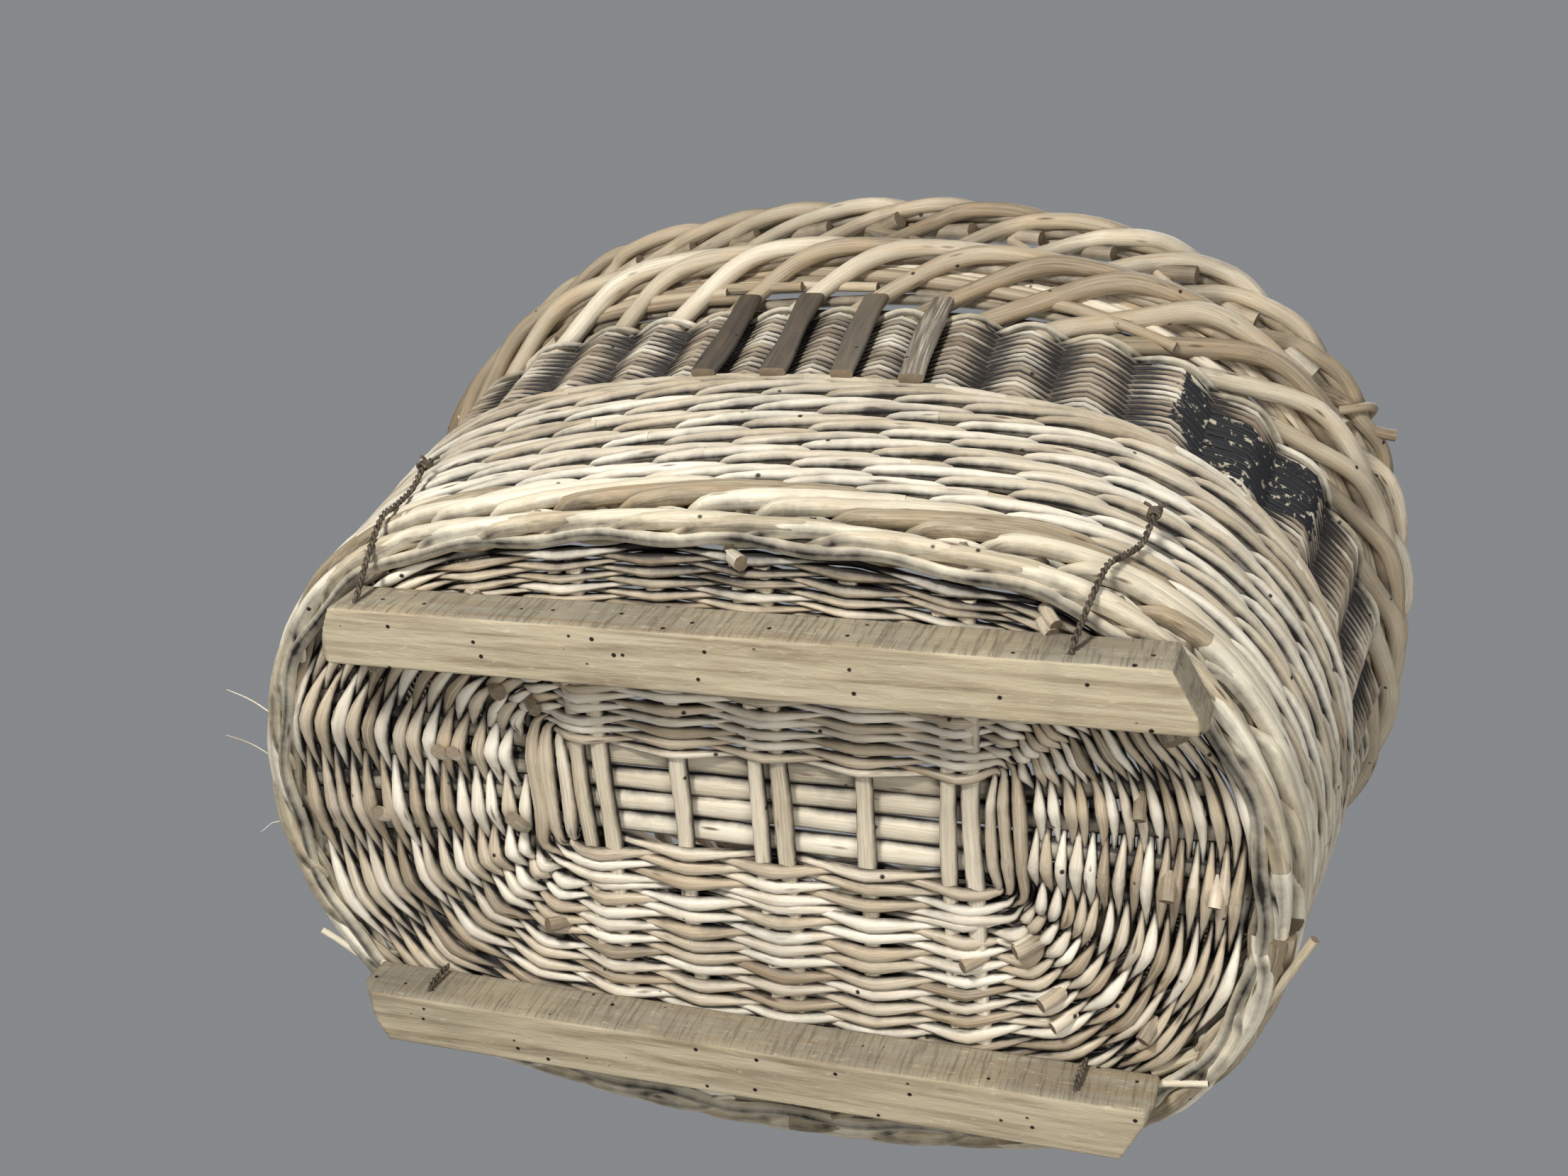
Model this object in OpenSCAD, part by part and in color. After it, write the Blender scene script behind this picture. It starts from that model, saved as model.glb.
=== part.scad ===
// Oval wicker log basket on two wooden runners.
// Upright: Z = 0 is the underside of the runners, X is the long way,
// -Y is the front. Millimetres.

/* [Base] */
// Length of the woven base, end to end
base_l = 640; // [530:5:770]
// Width of the woven base, front to rear
base_w = 410; // [340:5:495]
// Thickness of the woven base
base_t = 24; // [20:1:29]
// Distance between the two corner centres of one end
corner_gap = 38; // [30:1:46]
// How far a long side bulges past its corner arcs
side_bulge = 14; // [11:1:17]
// How far an end bulges past its corner arcs
end_bulge = 3.5; // [2.9:0.1:4.2]

/* [Base sticks] */
// Middle of the open window in the base, along the length
window_x = 28; // [23:1:34]
// Middle of the open window in the base, across the width
window_y = -27; // [-33:1:-22]
// Length of the window
window_l = 272; // [268:1:326]
// Width of one long stick
long_w = 16.4; // [13.6:0.1:16.7]
// Pitch of the four long sticks
long_pitch = 16.8; // [16.6:0.1:20.2]
// Angle between neighbouring long sticks where they fan out
fan_angle = 5; // [4:0.5:6]
// Width of one short stick
short_w = 14; // [11:0.5:14.5]
// Pitch of the five groups of short sticks
short_pitch = 60; // [50:1:61]
// Pitch of the two sticks in a pair
pair_pitch = 15; // [14.5:0.5:18]
// Thickness of every base stick
stick_t = 8; // [6.5:0.5:9.5]
// Distance from a stick's end to the edge of the base
stick_margin = 12; // [10:1:15]

/* [Runners] */
// Length of the front runner
front_runner_l = 550; // [458:2:660]
// Length of the rear runner
rear_runner_l = 544; // [453:5:652]
// Width of a runner
runner_w = 40; // [33:1:48]
// Thickness of a runner
runner_t = 36; // [30:1:44]
// Distance between the middles of the runners
runner_pitch = 292; // [243:1:325]
// Shift of the front runner along the length
front_runner_x = 20; // [16:1:24]
// Shift of the rear runner along the length
rear_runner_x = -3; // [-4:0.5:-2]
// Length of the slope that lifts a runner's ends off the ground
end_cut = 12; // [10:0.5:14.5]
// How much shorter a runner's outer edge is at each end
plan_cut = 20; // [17:1:24]
// Diameter of the wire holes in the runners
hole_d = 5; // [4.4:0.1:6]
// Height of the wire holes above the underside
hole_z = 10; // [8:0.5:12]
// Distance between the two wire holes of a runner
hole_pitch = 442; // [368:2:450]

/* [Wire ties] */
// Diameter of the tie wire
wire_d = 3; // [2.5:0.1:3.6]
// Height of the knots above the underside
knot_z = 112; // [98:1:128]
// Sideways lean of the front right tie
knot_lean = 30; // [25:1:36]

/* [Wall] */
// Height of the thick wale round the foot of the wall
foot_h = 48; // [40:1:58]
// Height of the pale waled band
wale_h = 141; // [118:1:169]
// Height of the fine weave above it
fine_h = 106; // [88:1:128]
// Height of the two paired rods along the top of the fine weave
pairing_h = 9; // [7.5:0.5:11]
// Thickness of the waled band
wale_t = 26; // [21:1:31]
// Thickness of the fine weave
fine_t = 20; // [18:1:24]
// Distance from the base's edge to the stakes' centres at the foot
stake_out = 8; // [7:0.5:9.5]
// How far the wall leans out from its foot to the top of the fine weave
flare = 42; // [35:1:50]

/* [Stakes and border] */
// Stakes in each quarter of the wall
stakes_per_quarter = 10; // [8:1:12]
// Diameter of a stake
stake_d = 11; // [9:0.5:13]
// Thickness of weave under the stakes' lower ends
socket_floor = 5; // [4:0.5:6]
// Height from the fine weave to the front ring
lower_open_h = 44; // [37:1:53]
// Height of the ring of turned-down stakes
ring_h = 26; // [22:1:31]
// Radial thickness of that ring
ring_t = 26; // [22:1:31]
// Height of the open work between ring and rim
upper_open_h = 46; // [38:1:55]
// Height and thickness of the rim border
rim_d = 30; // [25:1:36]
// How far the ring stands outside the stakes at the ends
ring_out_end = 13; // [11:1:16]
// How far the ring stands outside the stakes at the sides
ring_out_side = 35; // [29:1:42]
// How far the rim stands outside the stakes at the ends
rim_out_end = 18; // [15:1:22]
// How far the rim stands outside the stakes at the sides
rim_out_side = 50; // [42:1:60]
// Diameter of the rods between ring and rim
rim_rod_d = 12; // [10:0.5:14]
// Lean of a turned-down stake along the wall, in stake pitches
stake_lean = 0.9; // [0.75:0.05:1.1]
// Lean of a rod between ring and rim, in stake pitches
rod_lean = 0.7; // [0.55:0.05:0.85]

/* [Small pieces] */
// Number of dark flat sticks at the front
flat_count = 4; // [1:1:5]
// Width of a dark flat stick
flat_w = 19; // [16:1:23]
// Thickness of a dark flat stick
flat_t = 6; // [5:0.5:6.5]
// Pitch of the dark flat sticks
flat_pitch = 48; // [40:1:58]
// Sideways place of the first dark flat stick
flat_x = -62; // [-74:1:-52]
// Lean of the dark flat sticks to the left of upright, in degrees
flat_lean = 5; // [4:0.5:6]
// Diameter of the rod looped round the rim
loop_d = 9; // [7.5:0.5:11]
// Place of that loop round the rim, as a part of a full turn
loop_turn = 0.93; // [0.92:0.01:0.94]

/* [Fits] */
// Gap round a piece that passes through another
clearance = 0.5; // [0.4:0.05:0.7]

/* [Hidden] */
$fn = 96;
ROD_FN = 24;
// Degrees of arc times the root of its radius that one straight edge spans.
ARC_STEP = 70;
// Turn of a rod about its own length, which keeps its seam off the cut ends.
ROD_TURN = 37;

// Heights, from the ground up.
z_base = runner_t;
z_base_top = z_base + base_t;
z_foot_top = z_base + foot_h;
z_wale_top = z_foot_top + wale_h;
z_fine_top = z_wale_top + fine_h;
z_pair_top = z_fine_top + pairing_h;
z_bend = z_pair_top + stake_d / 2 + 1;
z_ring = z_fine_top + lower_open_h;
z_ring_top = z_ring + ring_h;
z_rim = z_ring_top + upper_open_h;
z_short = z_base + (base_t - 2 * stick_t) / 2;
z_long = z_short + stick_t;
slope = flare / (z_fine_top - z_base);

// ---- Eight-arc oval -------------------------------------------------------
// An oval is a list of arcs, anticlockwise from the middle of the right end:
// [centre x, centre y, radius, start angle, sweep]. Offsetting it keeps every
// centre, so one profile swept along it makes a wall of even thickness.
function oval(a, b) =
    let (cy = corner_gap / 2,
         rc = b - side_bulge - cy,
         cx = a - rc - end_bulge,
         ce = (pow(a - rc, 2) - cx * cx - cy * cy) / (2 * end_bulge),
         d = (cx * cx + cy * cy - pow(b - rc, 2)) / (2 * side_bulge),
         al = atan2(cy, cx - ce),
         be = atan2(cy + d, cx))
    [[ce, 0, a - ce, 0, al],
     [cx, cy, rc, al, be - al],
     [0, -d, b + d, be, 180 - 2 * be],
     [-cx, cy, rc, 180 - be, be - al],
     [-ce, 0, a - ce, 180 - al, 2 * al],
     [-cx, -cy, rc, 180 + al, be - al],
     [0, d, b + d, 180 + be, 180 - 2 * be],
     [cx, -cy, rc, 360 - be, be - al],
     [ce, 0, a - ce, 360 - al, al]];

function arc_len(arc) = arc[2] * arc[4] * PI / 180;
function total(v, i = 0) = i < len(v) ? v[i] + total(v, i + 1) : 0;
function perimeter(ov) = total([for (arc = ov) arc_len(arc)]);

// Point on an oval at part t of a turn, u outside it, and the outward angle.
function at(ov, t, u = 0) = walk(ov, (t - floor(t)) * perimeter(ov), u, 0);
function walk(ov, s, u, i) =
    s <= arc_len(ov[i]) || i == len(ov) - 1
    ? let (arc = ov[i], k = arc[3] + s / arc[2] * 180 / PI)
      [arc[0] + (arc[2] + u) * cos(k), arc[1] + (arc[2] + u) * sin(k), k]
    : walk(ov, s - arc_len(ov[i]), u, i + 1);

base_oval = oval(base_l / 2, base_w / 2);
ring_oval = oval(base_l / 2 + stake_out + flare + ring_out_end,
                 base_w / 2 + stake_out + flare + ring_out_side);
rim_oval = oval(base_l / 2 + stake_out + flare + rim_out_end,
                base_w / 2 + stake_out + flare + rim_out_side);

// Offset of the stakes' centres from the base's edge at height z.
function lean(z) = stake_out + slope * (z - z_base);

// Half-width of the base at distance x from its middle, and half-length at y.
function half_width(x) =
    let (side = base_oval[2], corner = base_oval[1], ax = abs(x))
    ax < side[2] * cos(side[3])
    ? side[1] + sqrt(pow(side[2], 2) - ax * ax)
    : corner[1] + sqrt(pow(corner[2], 2) - pow(ax - corner[0], 2));
function half_length(y) =
    let (end = base_oval[0], corner = base_oval[1], ay = abs(y))
    ay < end[2] * sin(end[4])
    ? end[0] + sqrt(pow(end[2], 2) - ay * ay)
    : corner[0] + sqrt(pow(corner[2], 2) - pow(ay - corner[1], 2));

// Points round an oval with their outward directions: [x, y, nx, ny].
function rails(ov) = [for (arc = ov)
    let (steps = ceil(sqrt(arc[2]) * arc[4] / ARC_STEP))
    for (j = [0 : steps - 1])
        let (k = arc[3] + arc[4] * j / steps)
        [arc[0] + arc[2] * cos(k), arc[1] + arc[2] * sin(k), cos(k), sin(k)]];

// Sweeps an anticlockwise profile of [offset, z] points along an oval.
module oval_ring(ov, profile) {
    track = rails(ov);
    n = len(track);
    m = len(profile);
    polyhedron(
        points = [for (r = track, q = profile)
            [r[0] + q[0] * r[2], r[1] + q[0] * r[3], q[1]]],
        faces = [for (i = [0 : n - 1], j = [0 : m - 1])
            [i * m + j, i * m + (j + 1) % m,
             (i + 1) % n * m + (j + 1) % m, (i + 1) % n * m + j]]);
}

// Flat plate with an oval outline.
module oval_plate(ov, h) {
    linear_extrude(h)
        polygon([for (r = rails(ov)) [r[0], r[1]]]);
}

// Round rod from p to q.
module rod(p, q, d) {
    v = q - p;
    translate(p)
        rotate([0, acos(v[2] / norm(v)), atan2(v[1], v[0])])
            rotate(ROD_TURN) cylinder(h = norm(v), d = d, $fn = ROD_FN);
}

// ---- Runners and wire ties -------------------------------------------------
// Runner l long, with its outer edge shorter than its inner one to follow the
// base. side is -1 for the front runner and 1 for the rear one.
module runner(l, x, side) {
    y = side * runner_pitch / 2;
    outer = side * runner_w / 2;
    difference() {
        translate([x, y, 0])
            intersection() {
                linear_extrude(runner_t)
                    polygon([[-l / 2, -outer], [l / 2, -outer],
                             [l / 2 - plan_cut, outer], [-l / 2 + plan_cut, outer]]);
                rotate([90, 0, 0])
                    linear_extrude(2 * runner_w, center = true)
                        polygon([[-l / 2 + end_cut, 0], [l / 2 - end_cut / 2, 0],
                                 [l / 2, end_cut], [l / 2, runner_t],
                                 [-l / 2, runner_t], [-l / 2, end_cut]]);
            }
        for (end = [-1, 1])
            translate([end * hole_pitch / 2, y, hole_z])
                rotate([90, 0, 0])
                    cylinder(h = runner_w + 2, d = hole_d, center = true, $fn = 32);
    }
}

module runner_front() {
    color("#9c8462") runner(front_runner_l, front_runner_x, -1);
}

module runner_rear() {
    color("#947c5c") runner(rear_runner_l, rear_runner_x, 1);
}

// Wire from a knot on the wall, under the foot wale, through the runner's hole
// and up to the base. side is -1 at the front and 1 at the rear.
module tie(x, side, knot_dx = 0) {
    y_mid = side * runner_pitch / 2;
    out = wire_d / 2 + clearance;
    y_out = y_mid + side * (runner_w / 2 + out);
    y_in = y_mid - side * (runner_w / 2 + out);
    foot = side * (half_width(x) + stake_out + wale_t / 2 + slope * foot_h + 10);
    knot = side * (half_width(x + knot_dx) + stake_out + wale_t / 2
                   + slope * (knot_z - z_base) + 14);
    path = [[x + knot_dx, knot, knot_z], [x + knot_dx / 4, foot, z_base - 4],
            [x, y_out, hole_z], [x, y_in, hole_z],
            [x, y_in, z_base - out]];
    color("#4a4038") {
        for (i = [0 : len(path) - 2])
            rod(path[i], path[i + 1], wire_d);
        for (i = [1 : len(path) - 2])
            translate(path[i]) sphere(d = wire_d * 1.15, $fn = ROD_FN);
        translate(path[0]) sphere(d = 3 * wire_d, $fn = ROD_FN);
    }
}

module tie_front_left() { tie(-hole_pitch / 2, -1); }
module tie_front_right() { tie(hole_pitch / 2, -1, knot_lean); }
module tie_rear_left() { tie(-hole_pitch / 2, 1); }
module tie_rear_right() { tie(hole_pitch / 2, 1); }

// ---- Base -------------------------------------------------------------------
// Long stick i: straight across the window, then bent out with the fan.
// Gap c widens it on every side.
module long_stick(i, c = 0) {
    k = i - 1.5;
    half_w = long_w / 2 + c;
    y = window_y + k * long_pitch;
    outline = [for (side = [1, -1])
        let (x_bend = window_x + side * window_l / 2,
             turn = side * k * fan_angle,
             y_far = y + (side * half_length(0) - x_bend) * tan(turn),
             x_end = side * (half_length(abs(y_far) + long_w / 2) - stick_margin + c),
             y_end = y + (x_end - x_bend) * tan(turn),
             dx = half_w * tan(turn / 2),
             dy = half_w / cos(turn))
        [[x_bend + dx, y - half_w], [x_end, y_end - dy],
         [x_end, y_end + dy], [x_bend - dx, y + half_w]]];
    translate([0, 0, z_long - c])
        linear_extrude(stick_t + 2 * c)
            polygon([outline[0][0], outline[0][1], outline[0][2], outline[0][3],
                     outline[1][3], outline[1][2], outline[1][1], outline[1][0]]);
}

module long_stick_1() { color("#b39d78") long_stick(0); }
module long_stick_2() { color("#b39d78") long_stick(1); }
module long_stick_3() { color("#b39d78") long_stick(2); }
module long_stick_4() { color("#b39d78") long_stick(3); }

// Middles of the short sticks: a pair, one, a pair, one, a pair.
short_x = [for (g = [-2 : 2])
    for (m = g % 2 == 0 ? [-0.5, 0.5] : [0]) window_x + g * short_pitch + m * pair_pitch];

module short_stick(i, c = 0) {
    l = half_width(short_x[i]) - stick_margin;
    translate([short_x[i] - short_w / 2 - c, -l - c, z_short - c])
        cube([short_w + 2 * c, 2 * (l + c), stick_t + c]);
}

module short_stick_1() { color("#a8926c") short_stick(0); }
module short_stick_2() { color("#a8926c") short_stick(1); }
module short_stick_3() { color("#a8926c") short_stick(2); }
module short_stick_4() { color("#a8926c") short_stick(3); }
module short_stick_5() { color("#a8926c") short_stick(4); }
module short_stick_6() { color("#a8926c") short_stick(5); }
module short_stick_7() { color("#a8926c") short_stick(6); }
module short_stick_8() { color("#a8926c") short_stick(7); }

// Woven oval with its window and a channel for every stick.
module base_weave() {
    window_w = 4 * long_pitch;
    color("#c2ad86")
        difference() {
            translate([0, 0, z_base]) oval_plate(base_oval, base_t);
            translate([window_x - window_l / 2, window_y - window_w / 2, z_base - 1])
                cube([window_l, window_w, base_t + 2]);
            for (i = [0 : 3]) long_stick(i, clearance);
            for (i = [0 : 7]) short_stick(i, clearance);
        }
}

// ---- Wall -------------------------------------------------------------------
// Centre line of stake i of the whole ring.
stake_count = 4 * stakes_per_quarter;
function stake_t_at(i) = (i + 0.5) / stake_count;
function stake_at(i, z) =
    let (p = at(base_oval, stake_t_at(i), lean(z))) [p[0], p[1], z];

// Half of the room left for the stakes between a band's two faces of weave.
room = stake_d / 2 + clearance;

// Band of the wall between two heights, t thick. Its strands pass outside and
// inside the stakes, which stand in the room between the two faces.
module wall_band(z0, z1, t) {
    for (span = [[-t / 2, -room], [room, t / 2]])
        oval_ring(base_oval, [[lean(z0) + span[0], z0], [lean(z0) + span[1], z0],
                              [lean(z1) + span[1], z1], [lean(z1) + span[0], z1]]);
}

// Thick wale that turns the stakes up round the base, with their sockets.
module foot_wale() {
    z_socket = z_base + socket_floor;
    color("#c9b48c")
        oval_ring(base_oval,
                  [[clearance, z_base], [lean(z_base) + wale_t / 2 - 4, z_base],
                   [lean(z_base) + wale_t / 2, z_base + 6],
                   [lean(z_foot_top) + wale_t / 2, z_foot_top],
                   [lean(z_foot_top) + room, z_foot_top],
                   [lean(z_socket) + room, z_socket],
                   [lean(z_socket) - room, z_socket],
                   [lean(z_foot_top) - room, z_foot_top],
                   [lean(z_foot_top) - wale_t / 2, z_foot_top],
                   [clearance, z_base_top]]);
}

module wall_wale() { color("#d2bf99") wall_band(z_foot_top, z_wale_top, wale_t); }
module fine_weave() { color("#c4ae88") wall_band(z_wale_top, z_fine_top, fine_t); }
module pairing() { color("#bfa983") wall_band(z_fine_top, z_pair_top, fine_t); }

// ---- Stakes, ring, rods and rim ----------------------------------------------
// Slab between two heights, wider than the basket.
module slab(z0, z1) {
    translate([0, 0, (z0 + z1) / 2])
        cube([2 * base_l, 2 * base_w, z1 - z0], center = true);
}

// Stakes of one quarter: straight in the wall, then leaning up to the ring.
module stakes(quarter) {
    first = quarter * stakes_per_quarter;
    color("#b89f74")
        for (i = [first : first + stakes_per_quarter - 1]) {
            ring = at(ring_oval, stake_t_at(i) + stake_lean / stake_count);
            rod(stake_at(i, z_base + socket_floor + 1), stake_at(i, z_bend), stake_d);
            intersection() {
                rod(stake_at(i, z_bend - 2), [ring[0], ring[1], z_ring + stake_d],
                    stake_d + 1);
                slab(z_bend - stake_d, z_ring);
            }
        }
}

module stakes_rear_right() { stakes(0); }
module stakes_rear_left() { stakes(1); }
module stakes_front_left() { stakes(2); }
module stakes_front_right() { stakes(3); }

module front_ring() {
    r = ring_t / 2;
    e = ring_h * 0.29;
    color("#cdb78e")
        oval_ring(ring_oval, [[-r + e, z_ring], [r - e, z_ring],
                              [r, z_ring + e], [r, z_ring_top - e],
                              [r - e, z_ring_top], [-r + e, z_ring_top],
                              [-r, z_ring_top - e], [-r, z_ring + e]]);
}

// Rods of one quarter that cross the open gap from the ring to the rim.
module rods(quarter) {
    first = quarter * stakes_per_quarter;
    color("#ab9168")
        for (i = [first : first + stakes_per_quarter - 1]) {
            t = i / stake_count;
            low = at(ring_oval, t);
            high = at(rim_oval, t + rod_lean / stake_count);
            intersection() {
                rod([low[0], low[1], z_ring_top - rim_rod_d],
                    [high[0], high[1], z_rim + rim_rod_d], rim_rod_d);
                slab(z_ring_top, z_rim);
            }
        }
}

module rods_rear_right() { rods(0); }
module rods_rear_left() { rods(1); }
module rods_front_left() { rods(2); }
module rods_front_right() { rods(3); }

module rim_border() {
    r = rim_d / 2;
    e = rim_d * 0.29;
    z_top = z_rim + rim_d;
    color("#c4ad83")
        oval_ring(rim_oval, [[-r + e, z_rim], [r - e, z_rim],
                             [r, z_rim + e], [r, z_top - e],
                             [r - e, z_top], [-r + e, z_top],
                             [-r, z_top - e], [-r, z_rim + e]]);
}

// Rod bent over the outside of the rim, with its cut end left standing.
module rim_loop() {
    p = at(rim_oval, loop_turn);
    reach = rim_d * 0.542 + loop_d / 2 + clearance;
    color("#a48c66")
        translate([p[0], p[1], z_rim + rim_d / 2])
            rotate([90, 0, p[2]])
                rotate(-75)
                    rotate_extrude(angle = 150)
                        translate([reach, 0])
                            circle(d = loop_d, $fn = ROD_FN);
}

// Dark flat stick in front of the fine weave, standing on the waled band. It
// clears the wall where the wall stands furthest forward behind it.
module flat_stick(i) {
    tilt = atan(slope);
    face = lean(z_wale_top) + fine_t / 2 + clearance;
    top_l = (z_bend - z_wale_top) / cos(tilt);
    x = flat_x + i * flat_pitch;
    drift = top_l * tan(flat_lean);
    near_x = max(0, abs(x - drift / 2) - (flat_w + drift) / 2);
    if (i < flat_count)
        color("#6f6353")
            intersection() {
                translate([x, -half_width(near_x) - face, z_wale_top])
                    rotate([tilt, 0, 0])
                        rotate([0, -flat_lean, 0])
                            translate([-flat_w / 2, -flat_t, -20])
                                cube([flat_w, flat_t, top_l + 40]);
                slab(z_wale_top, z_bend);
            }
}

module flat_stick_1() { flat_stick(0); }
module flat_stick_2() { flat_stick(1); }
module flat_stick_3() { flat_stick(2); }
module flat_stick_4() { flat_stick(3); }

runner_front();
runner_rear();
tie_front_left();
tie_front_right();
tie_rear_left();
tie_rear_right();
long_stick_1();
long_stick_2();
long_stick_3();
long_stick_4();
short_stick_1();
short_stick_2();
short_stick_3();
short_stick_4();
short_stick_5();
short_stick_6();
short_stick_7();
short_stick_8();
base_weave();
foot_wale();
wall_wale();
fine_weave();
pairing();
stakes_rear_right();
stakes_rear_left();
stakes_front_left();
stakes_front_right();
front_ring();
rods_rear_right();
rods_rear_left();
rods_front_left();
rods_front_right();
rim_border();
rim_loop();
flat_stick_1();
flat_stick_2();
flat_stick_3();
flat_stick_4();
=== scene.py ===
"""Wicker log basket on two wooden runners: its looks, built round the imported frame.

Lengths in this file are in millimetres, in the frame's axes (+Z up, -Y the
front). make_piece() turns them into metres.
"""

import math

import bpy
import numpy as np
from mathutils import Euler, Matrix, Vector, noise


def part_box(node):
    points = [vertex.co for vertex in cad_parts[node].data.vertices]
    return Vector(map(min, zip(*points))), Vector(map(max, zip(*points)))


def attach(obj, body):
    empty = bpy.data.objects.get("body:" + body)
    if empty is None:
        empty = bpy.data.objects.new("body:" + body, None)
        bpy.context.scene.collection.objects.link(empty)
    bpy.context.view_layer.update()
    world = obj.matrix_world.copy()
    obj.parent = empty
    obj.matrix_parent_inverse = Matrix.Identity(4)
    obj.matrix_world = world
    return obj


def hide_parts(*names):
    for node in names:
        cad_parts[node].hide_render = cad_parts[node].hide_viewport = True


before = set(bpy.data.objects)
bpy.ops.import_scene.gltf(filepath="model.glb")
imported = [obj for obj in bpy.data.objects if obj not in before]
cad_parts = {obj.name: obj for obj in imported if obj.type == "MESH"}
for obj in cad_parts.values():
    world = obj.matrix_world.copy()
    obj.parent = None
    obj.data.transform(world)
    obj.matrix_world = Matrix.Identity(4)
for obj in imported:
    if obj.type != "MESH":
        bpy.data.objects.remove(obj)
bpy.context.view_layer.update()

MM = 0.001
TURN = 2 * math.pi
rng = np.random.default_rng(20)

# ---- Camera, placed as the basket was seen: from below and in front ---------
CAMERA_AT = (0.3637, -0.5703, -0.8048)
CAMERA_TURN = (155.05, -18.43, 4.63)
LENS_MM = 39.04

camera_data = bpy.data.cameras.new("camera")
camera_data.lens = LENS_MM
camera_data.sensor_width = 36.0
camera_data.clip_start = 0.01
camera = bpy.data.objects.new("camera", camera_data)
camera.location = CAMERA_AT
camera.rotation_euler = Euler([math.radians(a) for a in CAMERA_TURN], "XYZ")
bpy.context.scene.collection.objects.link(camera)
bpy.context.scene.camera = camera
bpy.context.scene.view_settings.view_transform = "Standard"


# ---- Sizes read from the frame -----------------------------------------------
def node_box(name):
    """Lowest and highest corner of a CAD node, in millimetres."""
    low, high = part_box(name)
    return np.array(low) / MM, np.array(high) / MM


base_low, base_high = node_box("base_weave")
fine_high = node_box("fine_weave")[1]
ring_low, ring_high = node_box("front_ring")
rim_low, rim_high = node_box("rim_border")

BASE_L, BASE_W = (base_high - base_low)[:2]
Z_BASE, Z_BASE_TOP = base_low[2], base_high[2]
Z_FOOT_TOP = node_box("foot_wale")[1][2]
Z_WALE_TOP = node_box("wall_wale")[1][2]
Z_FINE_TOP = fine_high[2]
Z_PAIR_TOP = node_box("pairing")[1][2]
Z_RING, Z_RING_TOP = ring_low[2], ring_high[2]
Z_RIM, Z_RIM_TOP = rim_low[2], rim_high[2]

# The CAD model's own values for its oval and its wall.
CORNER_GAP = 38.0
SIDE_BULGE = 14.0
END_BULGE = 3.5
STAKE_OUT = 8.0
FINE_T = 20.0
STAKES = 40
RING_R = (Z_RING_TOP - Z_RING) / 2
RIM_R = (Z_RIM_TOP - Z_RIM) / 2
SLOPE = (fine_high[0] - BASE_L / 2 - STAKE_OUT - FINE_T / 2) / (Z_FINE_TOP - Z_BASE)


def lean(z):
    """Offset of the stakes' centres from the base's edge at height z."""
    return STAKE_OUT + SLOPE * (z - Z_BASE)


# ---- Ovals ---------------------------------------------------------------------
class Oval:
    """Eight-arc oval, walked anticlockwise from the middle of the right end."""

    def __init__(self, half_l, half_w):
        cy = CORNER_GAP / 2
        rc = half_w - SIDE_BULGE - cy
        cx = half_l - rc - END_BULGE
        ce = ((half_l - rc) ** 2 - cx * cx - cy * cy) / (2 * END_BULGE)
        d = (cx * cx + cy * cy - (half_w - rc) ** 2) / (2 * SIDE_BULGE)
        al = math.atan2(cy, cx - ce)
        be = math.atan2(cy + d, cx)
        end, side, corner = half_l - ce, half_w + d, be - al
        self.arcs = np.array([
            [ce, 0, end, 0, al],
            [cx, cy, rc, al, corner],
            [0, -d, side, be, math.pi - 2 * be],
            [-cx, cy, rc, math.pi - be, corner],
            [-ce, 0, end, math.pi - al, 2 * al],
            [-cx, -cy, rc, math.pi + al, corner],
            [0, d, side, math.pi + be, math.pi - 2 * be],
            [cx, -cy, rc, TURN - be, corner],
            [ce, 0, end, TURN - al, al]])
        lengths = self.arcs[:, 2] * self.arcs[:, 4]
        self.starts = np.concatenate([[0], np.cumsum(lengths)])
        self.length = self.starts[-1]

    def at(self, t, out=0.0):
        """Points at parts t of a turn, out millimetres outside, and normals."""
        s = (np.asarray(t, float) % 1.0) * self.length
        i = np.clip(np.searchsorted(self.starts, s, side="right") - 1, 0, 8)
        arc = self.arcs[i]
        k = arc[..., 3] + (s - self.starts[i]) / arc[..., 2]
        normal = np.stack([np.cos(k), np.sin(k)], -1)
        return arc[..., :2] + (arc[..., 2] + out)[..., None] * normal, normal


def rise(xy, z):
    """Joins plan points and heights into 3-D points."""
    z = np.broadcast_to(z, xy.shape[:-1])
    return np.concatenate([xy, z[..., None]], -1)


def ease(x, low, high):
    """Smooth step from 0 at low to 1 at high."""
    u = np.clip((np.asarray(x, float) - low) / (high - low), 0, 1)
    return u * u * (3 - 2 * u)


base_oval = Oval(BASE_L / 2, BASE_W / 2)
ring_oval = Oval(ring_high[0] - RING_R, ring_high[1] - RING_R)
rim_oval = Oval(rim_high[0] - RIM_R, rim_high[1] - RIM_R)


# ---- Rods ------------------------------------------------------------------------
def curve(points, step=6.0):
    """Catmull-Rom curve through points, sampled about every step."""
    p = np.asarray(points, float)
    p = np.concatenate([[2 * p[0] - p[1]], p, [2 * p[-1] - p[-2]]])
    out = []
    for a, b, c, d in zip(p, p[1:], p[2:], p[3:]):
        n = max(2, int(np.linalg.norm(c - b) / step))
        u = (np.arange(n) / n)[:, None]
        out.append(0.5 * (2 * b + (c - a) * u + (2 * a - 5 * b + 4 * c - d) * u ** 2
                          + (3 * b - a - 3 * c + d) * u ** 3))
    return np.concatenate(out + [p[-2:-1]])


# Along a rod: the length of its swellings, and the range of its start in the
# space its colours are drawn in.
SWELL_LENGTH = 17.0
ROD_SPACE = 900.0


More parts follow.
